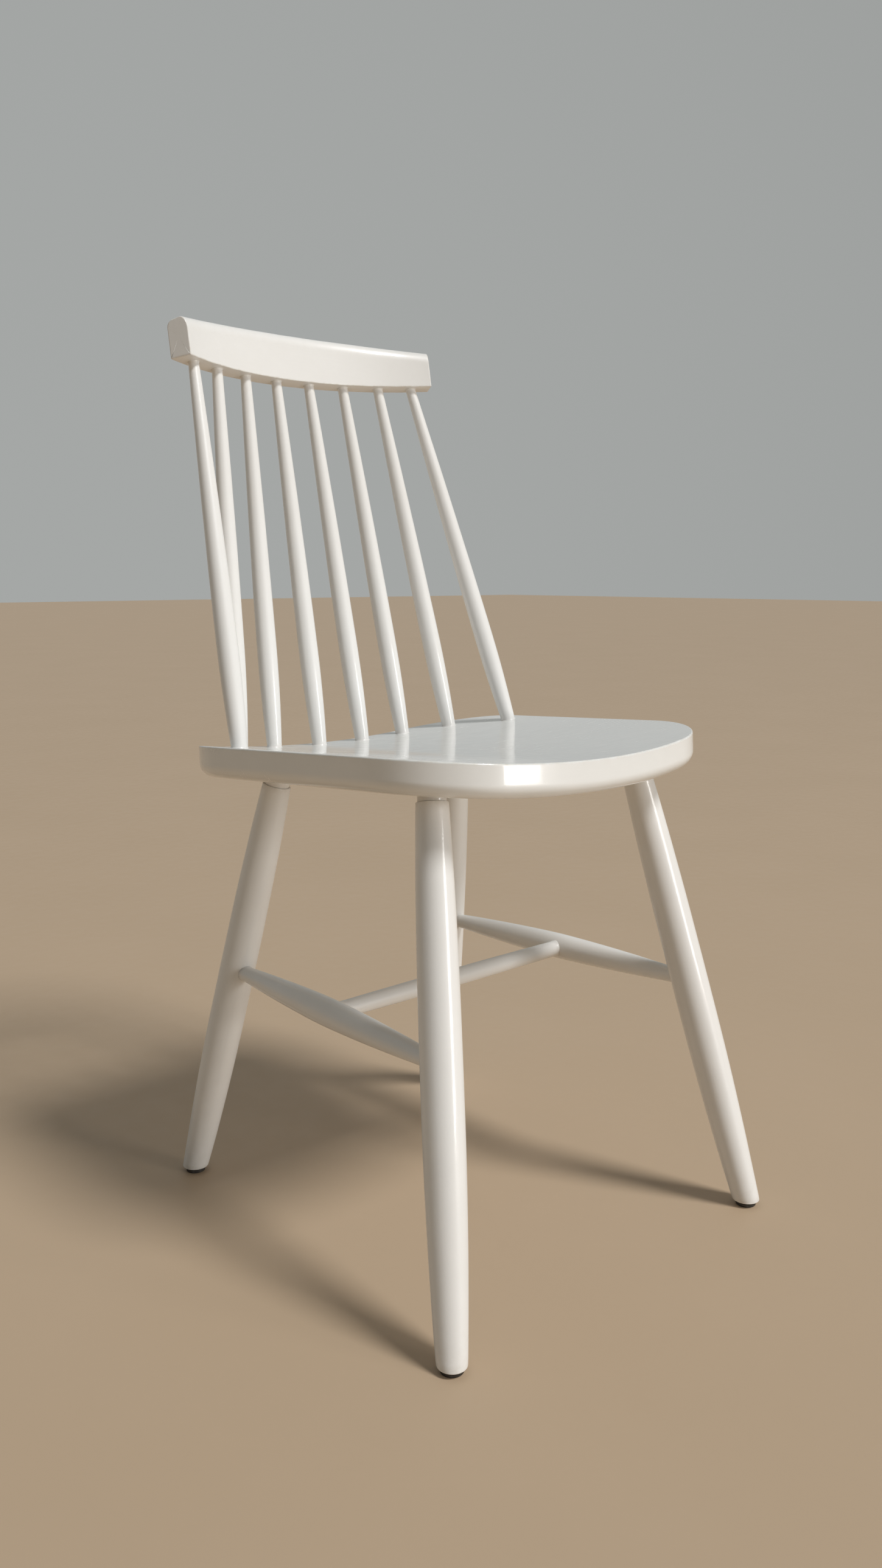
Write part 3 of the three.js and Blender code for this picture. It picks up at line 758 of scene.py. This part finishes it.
# ---- Spindles ----------------------------------------------------------------------------------------------


def row_distance(place, pitch, end_pitch):
    """How far along its row a spindle is from the middle. place counts outwards from 0."""
    last = SPINDLES_A_SIDE - 1
    return pitch * (place + 0.5) if place < last else pitch * (last - 0.5) + end_pitch


def spindle_base(sign, place):
    """Where a spindle's axis meets the seat, and the way up from the seat there."""
    y = REAR_EDGE - LINE_FROM_REAR
    straight = half_width_at(y - LINE_CORNER) - LINE_FROM_SIDE - LINE_CORNER
    distance = row_distance(place, SEAT_PITCH, SEAT_END_PITCH)
    turn = max(0, distance - straight) / LINE_CORNER
    x = min(distance, straight) + LINE_CORNER * math.sin(turn)
    return on_seat(sign * x, y - LINE_CORNER * (1 - math.cos(turn))), seat_normal(sign * x)


def spindle_top(sign, place):
    middle = RAIL_THICKNESS / 2
    angle = row_distance(place, RAIL_PITCH, RAIL_END_PITCH) / (RAIL_RADIUS + middle)
    return RAIL_PLACE @ rail_point(sign * angle, middle, rail_underside(angle))


def spindle_profile(length):
    base = SPINDLE_BASE / 2
    top = SPINDLE_TOP / 2
    rows = [(-SPINDLE_TENON, 0, 0, 0, 0), (-SPINDLE_TENON, base, 0, 0, 0), (-1.2, base, 0, 1, 0)]
    rows += [(-0.1, base + 0.75, 0.4, 1, 0), (0.45, base + 0.25, 0.5, 1, 0), (1.2, base + 0.05, 0.3, 1, 0)]
    for share in shared(0, 1, 90)[1:-1]:
        near = max(0, 1 - share * length / SPINDLE_FOLLOW)
        far = max(0, 1 - (1 - share) * length / SPINDLE_FOLLOW)
        radius = barrel(share, SPINDLE_BELLY_AT, SPINDLE_BELLY, (SPINDLE_BASE, SPINDLE_TOP), SPINDLE_POWERS)
        rows.append((share * length, radius, 0, near, far))
    rows += [(length - 1, top + 0.05, 0.3, 0, 1), (length - 0.3, top + 0.3, 0.6, 0, 1)]
    rows += [(length + 0.2, top + 0.8, 0.5, 0, 1), (length + 1.5, top, 0, 0, 1)]
    rows += [(length + SPINDLE_TENON, top, 0, 0, 0), (length + SPINDLE_TENON, 0, 0, 0, 0)]
    return rows


rail_down = RAIL_PLACE.to_3x3() @ Vector((0, 0, -1))
for number in range(1, 2 * SPINDLES_A_SIDE + 1):
    sign = -1 if number <= SPINDLES_A_SIDE else 1
    place = SPINDLES_A_SIDE - number if sign < 0 else number - SPINDLES_A_SIDE - 1
    base, normal = spindle_base(sign, place)
    top = spindle_top(sign, place)
    turned(
        f"back_spindle_{number}", spindle_profile((top - base).length), base, top, turned_paint, around=64,
        lower=plane_beside(normal), upper=plane_beside(rail_down), seed=19.0 * number,
    )

# ---- Glides ------------------------------------------------------------------------------------------------


def glide_profile():
    radius = GLIDE_DIAMETER / 2
    pin = GLIDE_PIN_DIAMETER / 2
    rim = GLIDE_HEIGHT - GLIDE_GAP
    lower = 0.8
    upper = 0.4
    rows = [(0, r, 0.5, 0, 0) for r in (0, 3, 6, radius - 1.2)]
    for angle in shared(0, math.pi / 2, 5):
        rows.append((lower * (1 - math.cos(angle)), radius - lower * (1 - math.sin(angle)), 0.5, 0, 0))
    for angle in shared(0, math.pi / 2, 4):
        rows.append((rim - upper * (1 - math.sin(angle)), radius - upper * (1 - math.cos(angle)), 0, 0, 0))
    rows += [(rim, pin + 0.8, 0, 0, 0), (rim, pin + 0.1, 0, 0, 0)]
    rows += [(GLIDE_HEIGHT + GLIDE_PIN, pin, 0, 0, 0), (GLIDE_HEIGHT + GLIDE_PIN + 0.2, 0, 0, 0, 0)]
    return rows


for (end, side), (foot, top) in legs.items():
    ground = Vector((foot.x, foot.y, 0))
    turned(f"{end}_{side}_glide", glide_profile(), ground, foot, glide_plastic, around=48, uneven=0)

# ---- Floor, light and camera: metres, watts and radians ----------------------------------------------------

FLOOR_REACH = 25
FLOOR_TONES = (0.47, 0.35, 0.235, 1), (0.482, 0.36, 0.244, 1)

ROOM_COLOUR = (0.755, 0.78, 0.765, 1)
ROOM_TOWARDS = (0.42, 0.9, 0)  # the room is brightest this way, behind the chair
ROOM_DIM, ROOM_BRIGHT = 0.15, 0.5

WINDOW_PLACE = Vector((2.05, -5.64, 1.05))
WINDOW_TARGET = Vector((0, 0, 0.8))
WINDOW_SIZE = 1.5, 2.0
WINDOW_WATTS = 120
WINDOW_COLOUR = (1, 0.985, 0.965)
OVERHEAD_SHINES = Vector((-0.18, 0.55, -0.82))
OVERHEAD_STRENGTH = 2.2
OVERHEAD_SPREAD = math.radians(14)

CAMERA_PLACE = Vector((-0.7689, -0.8463 + SHIFT * MM, 0.5993))
CAMERA_TURN = 0.729
CAMERA_DOWN = 0.168
CAMERA_LENS = 28.45
CAMERA_SENSOR = 36


def plain_floor():
    """A plain matt floor in a light tan."""
    g = Graph("pale_floor", "floor")
    plain = g.node("ShaderNodeTexCoord").outputs["Object"]
    tone = g.mix(g.span(g.noise(plain, 3, 3), 0.3, 0.7), *FLOOR_TONES)
    g.give(Base_Color=tone, Roughness=g.span(g.noise(plain, 40, 3), 0.3, 0.7, 0.55, 0.65))
    mesh = bpy.data.meshes.new("floor")
    corners = [(FLOOR_REACH * x, FLOOR_REACH * y, 0) for x, y in ((-1, -1), (1, -1), (1, 1), (-1, 1))]
    mesh.from_pydata(corners, [], [(0, 1, 2, 3)])
    mesh.materials.append(g.material)
    add_to_scene("floor", mesh)


def room():
    """The light of the room itself, which grows from one side to the other."""
    world = bpy.data.worlds.new("studio")
    bpy.context.scene.world = world
    world.use_nodes = True
    nodes = world.node_tree.nodes
    link = world.node_tree.links.new
    background = nodes["Background"].inputs
    background["Color"].default_value = ROOM_COLOUR
    towards = nodes.new("ShaderNodeVectorMath")
    towards.operation = "DOT_PRODUCT"
    towards.inputs[1].default_value = ROOM_TOWARDS
    brightness = nodes.new("ShaderNodeMapRange")
    brightness.inputs["From Min"].default_value = -1
    brightness.inputs["To Min"].default_value = ROOM_DIM
    brightness.inputs["To Max"].default_value = ROOM_BRIGHT
    link(nodes.new("ShaderNodeTexCoord").outputs["Generated"], towards.inputs[0])
    link(towards.outputs["Value"], brightness.inputs["Value"])
    link(brightness.outputs["Result"], background["Strength"])


def add_light(name, kind, energy, shines, place=(0, 0, 0)):
    """A light that shines one way. Its data is returned, for what only its kind has."""
    data = bpy.data.lights.new(name, kind)
    data.energy = energy
    light = add_to_scene(name, data)
    light.location = place
    light.rotation_euler = shines.to_track_quat("-Z", "Y").to_euler()
    return data


plain_floor()
room()

window = add_light("window", "AREA", WINDOW_WATTS, WINDOW_TARGET - WINDOW_PLACE, WINDOW_PLACE)
window.shape = "RECTANGLE"
window.size, window.size_y = WINDOW_SIZE
window.color = WINDOW_COLOUR
overhead = add_light("overhead", "SUN", OVERHEAD_STRENGTH, OVERHEAD_SHINES)
overhead.angle = OVERHEAD_SPREAD

camera_data = bpy.data.cameras.new("camera")
camera_data.sensor_width = CAMERA_SENSOR
camera_data.lens = CAMERA_LENS
camera = add_to_scene("camera", camera_data)
camera.location = CAMERA_PLACE
camera.rotation_euler = (math.pi / 2 - CAMERA_DOWN, 0, -CAMERA_TURN)
bpy.context.scene.camera = camera
bpy.context.scene.view_settings.view_transform = "Standard"
